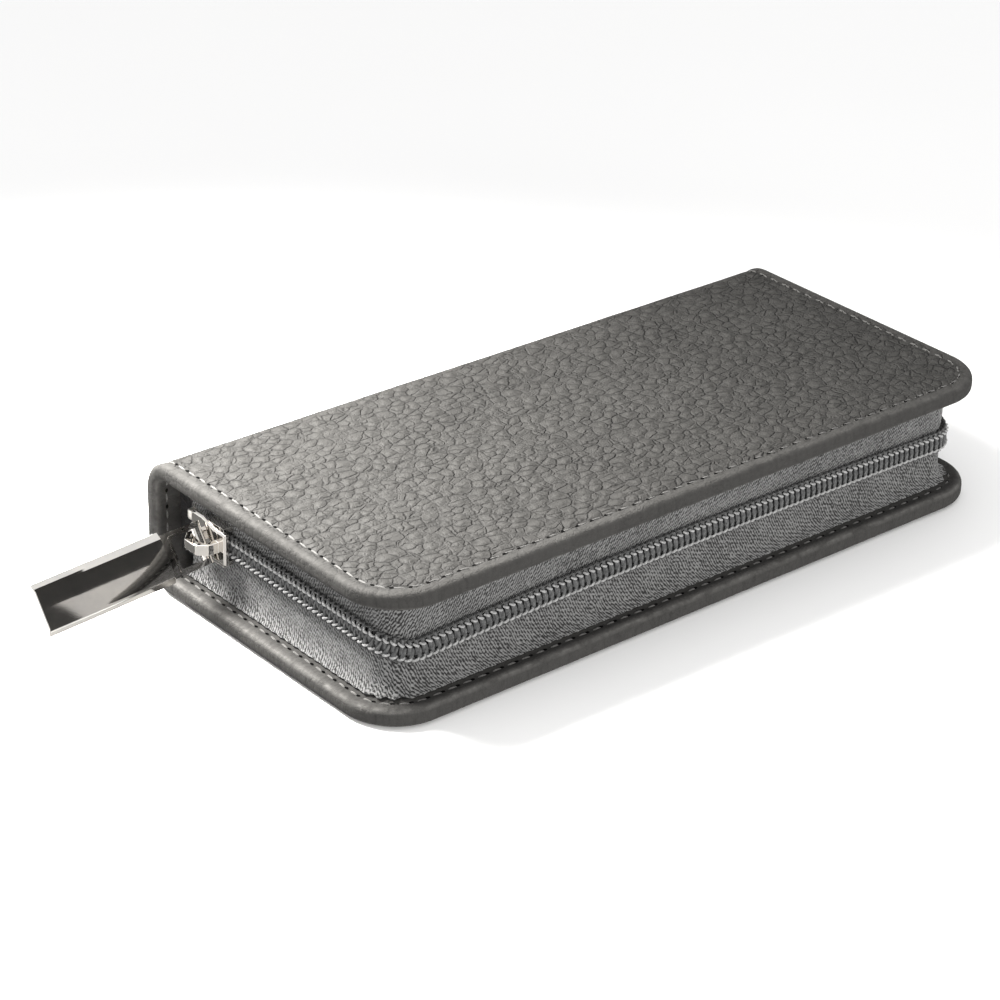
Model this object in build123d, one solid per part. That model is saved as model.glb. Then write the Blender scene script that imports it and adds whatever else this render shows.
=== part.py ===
from build123d import *
import math
import os

# Zip-around book case, closed and lying flat.  Millimetres.
# X runs along the length, with the zip's closed end at -X.  Y runs from the front edge (-Y)
# to the spine (+Y).  Z is up.  The origin is the centre of the underside.

# ---- overall sizes
case_length = 160.0
case_width = 75.0
case_height = 28.0
corner_radius = 12.0
spine_radius = 7.0

# ---- shell layers
leather = 1.2
board = 1.4
spine_board_thickness = 1.0
edge_rounding = 1.4
foam_thickness = 1.8
lining = 0.8
spine_turn_margin = 0.7
fold_gap = 0.6
layer_gap = 0.1
body_gap = 0.4

# ---- gusset and coil
gusset_inset = 6.0
tape = 0.8
flange_width = 2.4
coil_rise = 1.6
coil_half_width = 2.75
coil_depth = 1.8
coil_split = 0.6
right_end_setback = 4.0
stop_length = 1.6

# ---- slider
slider_back = 17.0
slider_length = 11.0
slider_nose_width = 9.0
slider_tail_width = 6.6
slider_plate = 1.0
slider_rim = 0.9
slider_wing = 3.6
rim_clearance = 0.45
coil_clearance = 0.45
divider_post = 0.6
bridge_span = 7.0
bridge_width = 2.2
bridge_rise = 3.0
bridge_thickness = 1.1

# ---- pull
pull_thickness = 2.4
pull_width = 10.2
pull_bevel = 1.5
pull_length = 37.0
eye_bar_radius = 1.0
eye_window_length = 5.3
eye_window_width = 6.3
eye_end_width = 8.5
eye_root = 1.9
eye_thickness = 2.0
eye_frame = 0.5
eye_frame_height = 0.2
pull_droop = 4.0
pull_lean = 31.0

# ---- fittings inside
bay_divider_width = 2.6
bay_divider_height = 10.0
bay_end_space = 4.0
strap_width = 14.0
strap_thickness = 0.8
strap_height = 8.0
pocket_length = 132.0
pocket_depth = 44.0
pocket_sheet = 0.7
pocket_space = 1.2
pocket_seam = 2.0
pocket_front_space = 6.0
binding = 1.6
cloth_thickness = 0.6
cloth_margin = 3.0

# ---- worked out from the sizes above
rim = 2 * leather + board
turn_in = gusset_inset + flange_width + layer_gap
spine_turn_in = gusset_inset + tape + spine_turn_margin
coil_height = case_height / 2 + coil_rise
half_length = case_length / 2
half_width = case_width / 2
fold_line = half_width - spine_radius
panel_back = fold_line - fold_gap
board_top = leather + board
foam_top = board_top + foam_thickness
lining_top = foam_top + lining
flange_top = foam_top
wall_inner = gusset_inset + tape
coil_face = gusset_inset - coil_depth
tape_back = panel_back - body_gap
spine_rim = 2 * leather + spine_board_thickness
slider_y = half_width - slider_back
plate_outer_inset = coil_face - coil_clearance - slider_plate
plate_face_x = -half_length + plate_outer_inset
straight_end = -half_width + corner_radius
slider_travel = slider_y - slider_length / 2 - straight_end
bay_back = tape_back - body_gap


def panel_outline(inset, back):
    """Plan of a cover layer: both front corners round, back edge straight."""
    x = half_length - inset
    front = -half_width + inset
    radius = corner_radius - inset
    with BuildSketch() as sketch:
        with Locations((0, (front + back) / 2)):
            Rectangle(2 * x, back - front)
        corners = [v for v in sketch.vertices() if v.Y < front + layer_gap]
        fillet(corners, radius)
    return sketch.sketch


def panel(inset, back, low, high):
    """A layer of the panel between two heights."""
    return extrude(Pos(0, 0, low) * panel_outline(inset, back), amount=high - low)


def gusset_ring(outer, inner, back, low, high):
    """A band that follows the left, front and right edges between two insets."""
    return panel(outer, back, low, high) - panel(inner, back + 1, low - 1, high + 1)


def block(x0, x1, y0, y1, z0, z1):
    """A box between two corners."""
    size = Box(x1 - x0, y1 - y0, z1 - z0)
    return Pos((x0 + x1) / 2, (y0 + y1) / 2, (z0 + z1) / 2) * size


def flipped(shape):
    """The same layer in the lid: turned over about the middle height."""
    return mirror(shape, about=Plane.XY.offset(case_height / 2))


def save(name, shape):
    """Write one piece."""
    export_step(shape, os.path.join("parts", name + ".step"))


# ---- layers that base and lid share

def cover():
    """Outer leather with its edge turned over the board on three sides."""
    outer = panel(0, panel_back, 0, rim)
    rim_edges = [
        e for e in outer.edges()
        if e.center().Y < panel_back - layer_gap and abs(e.tangent_at(0.5).Z) < 0.5
    ]
    outer = fillet(rim_edges, edge_rounding)
    board_room = panel(leather, panel_back + 1, leather, board_top)
    recess = panel(turn_in, panel_back + 1, board_top, rim + 1)
    return outer - board_room - recess


def board_panel():
    """Stiff board inside the cover."""
    return panel(leather + layer_gap / 2, panel_back - body_gap, leather, board_top)


def foam_panel():
    """Thin padding that fills the middle of the turned edge and carries the lining."""
    return panel(turn_in + layer_gap, panel_back - body_gap, board_top, foam_top)


def lining_panel():
    """Smooth cloth lining, inside the gusset wall."""
    return panel(wall_inner + layer_gap, panel_back - body_gap, foam_top, lining_top)


def gusset_tape(edge_height):
    """Woven tape: a flange glued on the turned edge and an upright wall."""
    flange = gusset_ring(gusset_inset, gusset_inset + flange_width, tape_back, rim, flange_top)
    wall = gusset_ring(gusset_inset, wall_inner, tape_back, rim, edge_height)
    return flange + wall


def coil_bead(low, high):
    """Solid envelope of one coil, open where the slider stands when closed."""
    room = slider_length / 2 + coil_clearance
    ring = gusset_ring(coil_face, gusset_inset, tape_back, low, high)
    gap = block(-half_length, 0, slider_y - room, slider_y + room, low - 1, high + 1)
    stop = block(-half_length, 0, tape_back - stop_length, half_width, low - 1, high + 1)
    end = block(0, half_length, tape_back - right_end_setback, half_width, low - 1, high + 1)
    return ring - gap - stop - end


def end_stop(side, low, high):
    """Small crimped stop on the coil's end."""
    x = half_length - gusset_inset
    x_low, x_high = sorted((side * x, side * (x + coil_depth)))
    if side < 0:
        y_high = tape_back - layer_gap
    else:
        y_high = tape_back - right_end_setback + stop_length
    return block(x_low, x_high, y_high - stop_length + layer_gap, y_high, low, high)


# ---- spine

def spine_profile(offset):
    """Edge line of the spine, a C open to the front, moved inward by an offset."""
    radius = spine_radius - offset
    y = half_width - offset
    low = spine_radius
    high = case_height - spine_radius
    bend = radius * math.sin(math.pi / 4)
    with BuildLine() as line:
        ThreePointArc(
            (fold_line, offset),
            (fold_line + bend, low - bend),
            (y, low),
        )
        if high > low:
            Line((y, low), (y, high))
        ThreePointArc(
            (y, high),
            (fold_line + bend, high + bend),
            (fold_line, case_height - offset),
        )
    return line.line


def spine_band(outer, inner, x0, x1):
    """Sheet between two offsets of the spine's edge line."""
    outside = spine_profile(outer)
    inside = spine_profile(inner)
    caps = [
        Line((fold_line, outer), (fold_line, inner)),
        Line((fold_line, case_height - inner), (fold_line, case_height - outer)),
    ]
    face = make_face(outside.edges() + inside.edges() + caps)
    placed = Plane(origin=(x0, 0, 0), x_dir=(0, 1, 0), z_dir=(1, 0, 0)) * face
    return extrude(placed, amount=x1 - x0)


def spine_board_strip(x_half, grow=0.0):
    """Flat stiffener behind the spine leather."""
    y = half_width - leather
    low = spine_radius - grow
    high = case_height - spine_radius + grow
    return block(-x_half, x_half, y - spine_board_thickness, y, low, high)


def spine_cover():
    """Leather spine with both ends turned in over the stiffener."""
    body = spine_band(0, spine_rim, -half_length, half_length)
    end_edges = [
        e for e in body.edges()
        if abs(abs(e.center().X) - half_length) < layer_gap
        and e.center().Y > fold_line + layer_gap
    ]
    body = fillet(end_edges, edge_rounding)
    middle = half_length - spine_turn_in
    recess = spine_band(leather, spine_rim + 1, -middle, middle)
    return body - recess - spine_board_strip(half_length - leather)


def spine_lining():
    """Lining between the turned ends, over the stiffener."""
    middle = half_length - spine_turn_in - layer_gap
    start = leather + spine_board_thickness + layer_gap
    return spine_band(start, start + lining, -middle, middle)


def end_patch(side):
    """Cloth web that closes the corner between the tapes and the spine."""
    x = half_length - gusset_inset
    x_low, x_high = sorted((side * x, side * (x - tape)))
    low = spine_radius
    return block(x_low, x_high, panel_back, half_width - spine_rim, low, case_height - low)


# ---- slider and pull

def slider_plate_shape(inset):
    """Plate with a broad nose towards the spine and a tapered tail, facing left."""
    nose = slider_y + slider_length / 2
    tail = slider_y - slider_length / 2
    wide = slider_nose_width / 2
    narrow = slider_tail_width / 2
    shoulder = slider_y + slider_wing / 2
    corner = (wide - narrow) / 2
    outline = Polyline(
        (tail, -narrow), (shoulder - slider_wing, -narrow), (shoulder, -wide),
        (nose - corner, -wide), (nose, -wide + corner), (nose, wide - corner),
        (nose - corner, wide), (shoulder, wide), (shoulder - slider_wing, narrow),
        (tail, narrow), close=True,
    )
    x = -half_length + inset
    face = make_face(outline.edges())
    placed = Plane(origin=(x, 0, coil_height), x_dir=(0, 1, 0), z_dir=(1, 0, 0)) * face
    return extrude(placed, amount=slider_plate)


def zip_slider():
    """Two plates, side rims on the tail half, a thin divider post and an arched bridge."""
    outer = slider_plate_shape(plate_outer_inset)
    face_edges = [e for e in outer.edges() if e.center().X < plate_face_x + layer_gap]
    outer = chamfer(face_edges, slider_plate / 3)
    inner_inset = wall_inner + rim_clearance
    inner = slider_plate_shape(inner_inset)
    tail = slider_y - slider_length / 2
    rim_low = coil_half_width + rim_clearance
    rim_x0 = plate_face_x + slider_plate / 2
    rim_x1 = -half_length + gusset_inset - rim_clearance
    body = outer + inner
    for side in (-1, 1):
        z0, z1 = sorted((
            coil_height + side * rim_low,
            coil_height + side * (rim_low + slider_rim),
        ))
        body += block(rim_x0, rim_x1, tail + slider_plate, slider_y + slider_plate, z0, z1)
    post_x0 = plate_face_x + slider_plate / 2
    post_x1 = -half_length + inner_inset + slider_plate / 2
    half_post = divider_post / 2
    nose = slider_y + slider_length / 2
    body += block(
        post_x0, post_x1, nose - 3 * slider_plate, nose - slider_plate / 2,
        coil_height - half_post, coil_height + half_post,
    )
    return body + bridge()


def bridge():
    """Strap that arches over the eye of the pull, from tail to nose."""
    half = bridge_span / 2
    top = bridge_rise + bridge_thickness
    slope = bridge_rise * 0.6
    sunk = slider_plate / 2
    outline = Polyline(
        (-half, -sunk), (-half, top - slope), (-half + slope, top), (half - slope, top),
        (half, top - slope), (half, -sunk),
        (half - bridge_thickness, -sunk), (half - bridge_thickness, bridge_rise - slope / 2),
        (half - bridge_thickness - slope / 2, bridge_rise),
        (-half + bridge_thickness + slope / 2, bridge_rise),
        (-half + bridge_thickness, bridge_rise - slope / 2), (-half + bridge_thickness, -sunk),
        close=True,
    )
    face = make_face(outline.edges())
    base = Plane(
        origin=(plate_face_x, slider_y, coil_height - bridge_width / 2),
        x_dir=(0, 1, 0), z_dir=(0, 0, 1),
    )
    strap = extrude(base * face, amount=bridge_width)
    crest = [
        e for e in strap.edges()
        if e.center().X < plate_face_x - bridge_rise - bridge_thickness / 2
        and abs(e.tangent_at(0.5).Z) < 0.5
    ]
    return fillet(crest, bridge_thickness / 4)


def pull_frame():
    """Plane of the pull: local X along it, local Y across it, Z out of its near face."""
    droop = math.radians(pull_droop)
    lean = math.radians(pull_lean)
    along = Vector(-math.cos(droop), 0, -math.sin(droop))
    rise = Vector(-math.sin(droop), 0, math.cos(droop))
    across = Vector(0, 1, 0) * math.sin(lean) + rise * math.cos(lean)
    x = plate_face_x - bridge_rise / 2
    pivot = Vector(x, slider_y, coil_height)
    return Plane(origin=pivot, x_dir=along, z_dir=along.cross(across))


def pull_tab():
    """Flat bar with bevelled long edges, and a tapered eye round the bridge."""
    shoulder = eye_bar_radius + eye_window_length + eye_root
    half = pull_width / 2
    flat = half - pull_bevel
    thick = pull_thickness / 2
    edge = thick / 3
    section = make_face(Polyline(
        (-half, -edge), (-flat, -thick), (flat, -thick), (half, -edge),
        (half, edge), (flat, thick), (-flat, thick), (-half, edge), close=True,
    ).edges())
    bar_plane = Plane(origin=(shoulder, 0, 0), x_dir=(0, 1, 0), z_dir=(1, 0, 0))
    bar_length = pull_length - shoulder - eye_bar_radius
    bar = extrude(bar_plane * section, amount=bar_length)
    ends = [
        e for e in bar.edges()
        if e.center().X > shoulder + bar_length - layer_gap
    ]
    bar = chamfer(ends, edge / 2)

    end_half = eye_end_width / 2
    neck_outline = make_face(Polyline(
        (0, -end_half), (shoulder, -flat - pull_bevel / 2),
        (shoulder, flat + pull_bevel / 2), (0, end_half), close=True,
    ).edges())
    neck = extrude(Pos(0, 0, -eye_thickness / 2) * neck_outline, amount=eye_thickness)
    hole_length = eye_bar_radius + eye_window_length
    window_middle = hole_length / 2
    hole = RectangleRounded(hole_length, eye_window_width, eye_frame)
    lip_length = eye_window_length + eye_frame
    lip = RectangleRounded(lip_length, eye_window_width + 2 * eye_frame, eye_frame)
    raised = eye_thickness / 2 + eye_frame_height
    lip_middle = eye_bar_radius + lip_length / 2
    frame = extrude(Pos(lip_middle, 0, -raised) * lip, amount=2 * raised)
    window = extrude(Pos(window_middle, 0, -pull_thickness) * hole, amount=2 * pull_thickness)
    eye_bar = Rot(X=90) * Cylinder(eye_bar_radius, eye_end_width)
    tab = bar + (neck + frame - window + eye_bar)
    return pull_frame() * tab


# ---- fittings inside

def bay_middle():
    """Depth position of the rib between the two bays."""
    return (-half_width + wall_inner + bay_back) / 2


def bay_divider():
    """Padded rib that keeps two folded pairs apart."""
    length = case_length - 2 * (wall_inner + bay_end_space)
    rib = Box(length, bay_divider_width, bay_divider_height)
    rib = fillet(rib.edges().filter_by(Axis.Z), bay_divider_width / 2 - layer_gap)
    top = rib.faces().sort_by(Axis.Z)[-1]
    rib = fillet(top.edges(), bay_divider_width / 4)
    return Pos(0, bay_middle(), lining_top + bay_divider_height / 2) * rib


def keeper_strap(side):
    """Elastic band that arches over one bay."""
    near = bay_middle() + side * (bay_divider_width / 2 + body_gap)
    if side < 0:
        far = -half_width + wall_inner + body_gap
    else:
        far = bay_back - body_gap
    y0, y1 = sorted((near, far))
    x = strap_width / 2
    low = lining_top
    high = low + strap_height + strap_thickness
    arch = block(-x, x, y0, y1, low, high)
    room = block(
        -x - 1, x + 1, y0 + strap_thickness, y1 - strap_thickness, low - 1, low + strap_height
    )
    return arch - room


def pocket_box():
    """Plan limits of the slip pocket on the lid's lining."""
    front = -half_width + wall_inner + pocket_front_space
    return -pocket_length / 2, pocket_length / 2, front, front + pocket_depth


def lens_pocket():
    """Slip pocket on the lid's lining, sewn on three sides and open to the spine."""
    x0, x1, y0, y1 = pocket_box()
    low = lining_top
    high = low + pocket_space + pocket_sheet
    sheet = block(x0, x1, y0, y1, low, high)
    room = block(
        x0 + pocket_seam, x1 - pocket_seam, y0 + pocket_seam, y1 + 1, low - 1, low + pocket_space
    )
    return flipped(sheet - room)


def pocket_binding():
    """Folded band on the pocket's open edge."""
    x0, x1, _, y1 = pocket_box()
    low = lining_top + pocket_space - layer_gap
    high = low + pocket_sheet + 2 * layer_gap
    return flipped(block(x0, x1, y1, y1 + binding, low, high))


def lens_cloth():
    """Wiping cloth folded flat in the pocket."""
    x0, x1, y0, y1 = pocket_box()
    edge = pocket_seam + cloth_margin
    low = lining_top + (pocket_space - cloth_thickness) / 2
    return flipped(block(x0 + edge, x1 - edge, y0 + edge, y1, low, low + cloth_thickness))


def main():
    """Build every piece and write it to its own file."""
    os.makedirs("parts", exist_ok=True)
    lower_edge = coil_height - coil_split
    upper_edge = coil_height + coil_split
    lower_bead = coil_height - coil_half_width
    upper_bead = coil_height + coil_half_width

    save("base_cover", cover())
    save("base_board", board_panel())
    save("base_foam", foam_panel())
    save("base_lining", lining_panel())
    save("lower_tape", gusset_tape(lower_edge))
    save("lower_coil", coil_bead(lower_bead, lower_edge))
    save("bay_divider", bay_divider())
    save("front_keeper", keeper_strap(-1))
    save("rear_keeper", keeper_strap(1))

    save("lid_cover", flipped(cover()))
    save("lid_board", flipped(board_panel()))
    save("lid_foam", flipped(foam_panel()))
    save("lid_lining", flipped(lining_panel()))
    save("upper_tape", flipped(gusset_tape(case_height - upper_edge)))
    save("upper_coil", coil_bead(upper_edge, upper_bead))
    save("lens_pocket", lens_pocket())
    save("pocket_binding", pocket_binding())
    save("lens_cloth", lens_cloth())

    for name, side in (("left", -1), ("right", 1)):
        save("lower_stop_" + name, end_stop(side, lower_bead, lower_edge))
        save("upper_stop_" + name, end_stop(side, upper_edge, upper_bead))
        save("end_patch_" + name, end_patch(side))

    save("spine_cover", spine_cover())
    save("spine_board", spine_board_strip(half_length - leather - layer_gap))
    save("spine_lining", spine_lining())

    save("zip_slider", zip_slider())
    save("pull_tab", pull_tab())
    print("slider travel", slider_travel, "pull pivot", pull_frame().origin)
    print("pull axis", pull_frame().y_dir)


main()
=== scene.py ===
import math

import bmesh
import bpy
import numpy as np
from mathutils import Matrix, Vector, noise


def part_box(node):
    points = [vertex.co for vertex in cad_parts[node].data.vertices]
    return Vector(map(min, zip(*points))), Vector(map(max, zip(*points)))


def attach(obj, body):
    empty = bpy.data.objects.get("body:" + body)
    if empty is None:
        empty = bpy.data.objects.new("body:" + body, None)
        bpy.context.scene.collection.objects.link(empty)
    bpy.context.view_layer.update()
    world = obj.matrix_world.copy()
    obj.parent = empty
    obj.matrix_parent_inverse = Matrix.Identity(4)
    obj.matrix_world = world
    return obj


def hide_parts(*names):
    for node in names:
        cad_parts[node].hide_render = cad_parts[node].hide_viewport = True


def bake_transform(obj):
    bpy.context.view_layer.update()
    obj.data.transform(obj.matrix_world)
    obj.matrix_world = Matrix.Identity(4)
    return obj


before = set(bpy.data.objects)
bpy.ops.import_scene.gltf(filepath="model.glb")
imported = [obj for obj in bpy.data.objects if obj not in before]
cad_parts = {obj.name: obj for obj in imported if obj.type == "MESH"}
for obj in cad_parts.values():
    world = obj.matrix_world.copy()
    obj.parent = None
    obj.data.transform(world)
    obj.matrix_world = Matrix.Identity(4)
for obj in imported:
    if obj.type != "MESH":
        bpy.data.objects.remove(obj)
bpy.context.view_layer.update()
scene = bpy.context.scene

# Everything below is worked out in millimetres and turned to metres where a mesh is made.
MM = 0.001


def cad_size(node):
    """Lowest and highest corner of a CAD node, in millimetres."""
    low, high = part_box(node)
    return [v / MM for v in low], [v / MM for v in high]


# ---- sizes read from the frame
cover_low, cover_high = cad_size("base_cover")
spine_low, spine_high = cad_size("spine_cover")
tape_low, tape_high = cad_size("lower_tape")
lower_coil_low, lower_coil_high = cad_size("lower_coil")
upper_coil_low, upper_coil_high = cad_size("upper_coil")
slider_low, slider_high = cad_size("zip_slider")
lining_low, lining_high = cad_size("base_lining")
HALF_LENGTH = cover_high[0]
HALF_WIDTH = -cover_low[1]
HEIGHT = spine_high[2]
RIM = cover_high[2]
FOLD_LINE = spine_low[1]
SPINE_RADIUS = HALF_WIDTH - FOLD_LINE
TAPE_INSET = HALF_LENGTH - tape_high[0]
TAPE_BACK = tape_high[1]
CHAIN_HEIGHT = (lower_coil_high[2] + upper_coil_low[2]) / 2
COIL_INSET = HALF_LENGTH - lower_coil_high[0]
SLIDER_Y = (slider_low[1] + slider_high[1]) / 2
SLIDER_HALF = (slider_high[1] - slider_low[1]) / 2

# ---- sizes of the looks: covers and their turned edges, stitches, zip and tape
CORNER = 12.0
EDGE_ROUND = 1.4
LEDGE = 8.5
SPINE_RIM = 3.4
SKIN = 1.1
STEP = 0.8
STITCH_INSET = 2.9
STITCH_PITCH = 3.5
COIL_PITCH = 1.5
CHAIN_ROW = 1.45
FLARE = 2.3
SPINE_END = FOLD_LINE + SPINE_RADIUS * math.pi / 2 + HEIGHT / 2 - SPINE_RADIUS


# ---- node trees

class Wire:
    """A shader or geometry socket that sums can be written on."""

    def __init__(self, nodes, socket):
        self.nodes = nodes
        self.socket = socket

    def _math(self, operation, *values):
        node = self.nodes.add("ShaderNodeMath", {"operation": operation}, dict(enumerate(values)))
        return self.nodes.out(node)

    def __add__(self, other):
        return self._math("ADD", self, other)

    def __radd__(self, other):
        return self._math("ADD", other, self)

    def __sub__(self, other):
        return self._math("SUBTRACT", self, other)

    def __rsub__(self, other):
        return self._math("SUBTRACT", other, self)

    def __mul__(self, other):
        return self._math("MULTIPLY", self, other)

    def __rmul__(self, other):
        return self._math("MULTIPLY", other, self)

    def __truediv__(self, other):
        return self._math("DIVIDE", self, other)

    def __rtruediv__(self, other):
        return self._math("DIVIDE", other, self)

    def __pow__(self, other):
        return self._math("POWER", self, other)

    def sine(self):
        return self._math("SINE", self)

    def ramp(self, low, high, start=0.0, end=1.0):
        """Smooth step from start to end as the value goes from low to high."""
        node = self.nodes.add(
            "ShaderNodeMapRange", {"interpolation_type": "SMOOTHSTEP"},
            {"Value": self, "From Min": low, "From Max": high, "To Min": start, "To Max": end},
        )
        return self.nodes.out(node)


class Nodes:
    """Builds one node tree."""

    def __init__(self, tree):
        self.tree = tree

    def add(self, kind, settings=None, inputs=None):
        node = self.tree.nodes.new(kind)
        for name, value in (settings or {}).items():
            setattr(node, name, value)
        for name, value in (inputs or {}).items():
            self.plug(node.inputs[name], value)
        return node

    def plug(self, socket, value):
        if isinstance(value, Wire):
            self.tree.links.new(value.socket, socket)
        else:
            socket.default_value = value

    def out(self, node, name=0):
        return Wire(self, node.outputs[name])


class Finish(Nodes):
    """One material, with the patterns that several materials share."""

    def __init__(self, name):
        self.material = bpy.data.materials.new(name)
        self.material.use_nodes = True
        super().__init__(self.material.node_tree)
        self.shader = self.tree.nodes["Principled BSDF"]

    def place(self, stretch=(1.0, 1.0, 1.0)):
        """Object coordinates in millimetres, stretched along the axes."""
        coords = self.add("ShaderNodeTexCoord")
        scaled = self.add(
            "ShaderNodeMapping", {"vector_type": "POINT"},
            {"Vector": self.out(coords, "Object"), "Scale": [s / MM for s in stretch]},
        )
        return self.out(scaled)

    def sheet_place(self):
        """The piece's own UV map, in millimetres along and across."""
        uv = self.add("ShaderNodeUVMap", {"uv_map": "cut"})
        parts = self.add("ShaderNodeSeparateXYZ", None, {0: self.out(uv)})
        return self.out(parts, 0) / MM, self.out(parts, 1) / MM

    def attribute(self, name):
        node = self.add("ShaderNodeAttribute", {"attribute_name": name})
        return self.out(node, "Fac")

    def noise(self, place, size, detail=3.0, rough=0.55):
        """Noise from 0 to 1 with features of a size in millimetres."""
        node = self.add(
            "ShaderNodeTexNoise", None,
            {"Vector": place, "Scale": 1.0 / size, "Detail": detail, "Roughness": rough},
        )
        return self.out(node, 0)

    def shift(self, place, size, amount):
        """The same place, pushed about by noise."""
        node = self.add("ShaderNodeTexNoise", None, {"Vector": place, "Scale": 1.0 / size})
        centred = self.add(
            "ShaderNodeVectorMath", {"operation": "SUBTRACT"},
            {0: self.out(node, 1), 1: (0.5, 0.5, 0.5)},
        )
        moved = self.add(
            "ShaderNodeVectorMath", {"operation": "MULTIPLY_ADD"},
            {0: self.out(centred), 1: (amount, amount, amount), 2: place},
        )
        return self.out(moved)

    def cells(self, place, size, feature="DISTANCE_TO_EDGE", even=1.0):
        node = self.add(
            "ShaderNodeTexVoronoi", {"feature": feature},
            {"Vector": place, "Scale": 1.0 / size, "Randomness": even},
        )
        return self.out(node, "Distance")

    def blend(self, factor, first, second):
        """Mix of two colours."""
        node = self.add("ShaderNodeMix", {"data_type": "RGBA"})
        self.plug(node.inputs[0], factor)
        self.plug(node.inputs[6], first)
        self.plug(node.inputs[7], second)
        return self.out(node, 2)

    def bump(self, height, depth, normal=None):
        """Bump of a depth in millimetres."""
        inputs = {"Height": height, "Distance": depth * MM, "Strength": 1.0}
        if normal is not None:
            inputs["Normal"] = normal
        return self.out(self.add("ShaderNodeBump", None, inputs))

    def set(self, **values):
        for name, value in values.items():
            self.plug(self.shader.inputs[name.replace("_", " ")], value)
        return self.material


def grey(level, warm=0.0):
    """A grey of a linear level, a little warm or cool."""
    return (level * (1 + warm), level, level * (1 - 1.3 * warm), 1.0)


GRAIN = 2.5
GRAIN_STRETCH = (0.9, 1.1, 1.0)


def pebbled_leather(name, low, high, gloss=0.56):
    """Pebbled leather: soft pillowed cells with fine creases, finely wrinkled on the turned edges."""
    f = Finish(name)
    place = f.place(GRAIN_STRETCH)
    bent = f.shift(f.shift(place, 4.2, 2.2), 1.0, 0.6)
    groove = f.cells(bent, GRAIN)
    pillow = f.cells(bent, GRAIN, "SMOOTH_F1")
    small = f.cells(f.shift(place, 0.9, 0.8), 1.15)
    strength = f.noise(place, 5.5, 2.0).ramp(0.3, 0.62)
    dome = 1 - pillow.ramp(0.05, 0.6)
    line = 1 - groove.ramp(0.0, 0.12)
    faint = (1 - small.ramp(0.0, 0.16)) * (1 - strength * 0.5)
    pores = f.noise(place, 0.22, 3.0)
    broad = f.noise(place, 26.0, 3.0)
    wear = f.attribute("wear")
    smooth = f.attribute("smooth")
    run = f.attribute("run")
    across = f.add("ShaderNodeCombineXYZ", None, {0: run * 1.1, 1: f.attribute("girth") * 0.28})
    wrinkle = f.noise(f.out(across), 1.1, 3.0, 0.6)
    grain = (1 - smooth).ramp(0.0, 0.9)
    height = (dome * 0.8 - line * (0.2 + strength * 0.4) - faint * 0.16) * grain
    height = height + pores * 0.06 + (wrinkle - 0.5) * smooth * 0.5 - faint * smooth * 0.12
    # painted shade: the colour is darkened in the creases, at the pillows' edges and in the troughs of the
    # turned edge's wrinkles, where shade falls
    painted_shade = (line * (0.03 + strength * 0.15) + (1 - dome) * 0.1 + faint * 0.02) * grain
    painted_shade = painted_shade + smooth * ((0.5 - wrinkle) * 0.75 + faint * 0.1 - 0.05)
    tone = 0.8 + (broad - 0.5) * 0.3 + (pores - 0.5) * 0.35 - painted_shade
    colour = f.blend(tone.ramp(0.0, 1.0), low, high)
    # lighter streak on the turned edges: partly wear, partly a painted highlight along the fold
    rub_and_highlight = wear * f.noise(place, 2.2, 4.0).ramp(0.2, 0.8)
    colour_with_wear_and_highlight = f.blend(rub_and_highlight, colour, grey(0.12, 0.03))
    normal = f.bump(height, 0.5)
    rough = gloss + 0.1 * line + pores * 0.1 + smooth * 0.24
    return f.set(Base_Color=colour_with_wear_and_highlight, Roughness=rough, Normal=normal, Specular_IOR_Level=0.12)


def thread_finish(name, level, warm=0.03):
    """Twisted sewing thread."""
    f = Finish(name)
    place = f.place()
    strands = f.noise(place, 0.35, 3.0)
    colour = f.blend(strands.ramp(0.3, 0.7), grey(level * 0.55, warm), grey(level, warm))
    return f.set(Base_Color=colour, Roughness=0.7, Normal=f.bump(strands, 0.08), Sheen_Weight=0.2)


def heather_tape(name):
    """Twilled tape of pale and dark yarns: short slanted floats in courses."""
    f = Finish(name)
    along, up = f.sheet_place()
    place = f.place()
    drift = f.noise(place, 3.0, 2.0) - 0.5
    course = up + drift * 0.5
    slant = along + course * 0.55 + drift * 0.9
    rib = ((slant * (2 * math.pi / 0.62)).sine() + 1) * 0.5
    float_gap = ((course * (2 * math.pi / 1.05) + slant * (2 * math.pi / 2.48)).sine() + 1) * 0.5
    fleck = f.noise(place, 0.55, 4.0, 0.75)
    cloud = f.noise(place, 5.0, 3.0)
    mask = (rib * 0.5 + float_gap * 0.3 + fleck * 2.4 + cloud * 0.35 - 1.32).ramp(0.2, 0.75)
    colour = f.blend(mask, grey(0.003, -0.01), grey(0.165, 0.0))
    height = rib * 0.5 + float_gap * 0.3 + fleck * 0.4
    return f.set(Base_Color=colour, Roughness=0.88, Normal=f.bump(height, 0.2), Sheen_Weight=0.15)


def soft_cloth(name, level, pitch=0.45, warm=0.0, nap=1.0):
    """Fine plain-woven or napped cloth."""
    f = Finish(name)
    along, across = f.sheet_place()
    warp = ((along * (2 * math.pi / pitch)).sine() + 1) * 0.5
    weft = ((across * (2 * math.pi / pitch)).sine() + 1) * 0.5
    weave = warp * weft
    place = f.place()
    fuzz = f.noise(place, 0.5, 4.0, 0.65)
    cloud = f.noise(place, 14.0, 2.0)
    tone = (weave * 0.4 + fuzz * 0.5 * nap + cloud * 0.35).ramp(0.2, 0.95)
    colour = f.blend(tone, grey(level * 0.55, warm), grey(level * 1.45, warm))
    normal = f.bump(weave * 0.6 + fuzz * 0.5 * nap, 0.12)
    return f.set(Base_Color=colour, Roughness=0.88, Normal=normal, Sheen_Weight=0.35)


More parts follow.
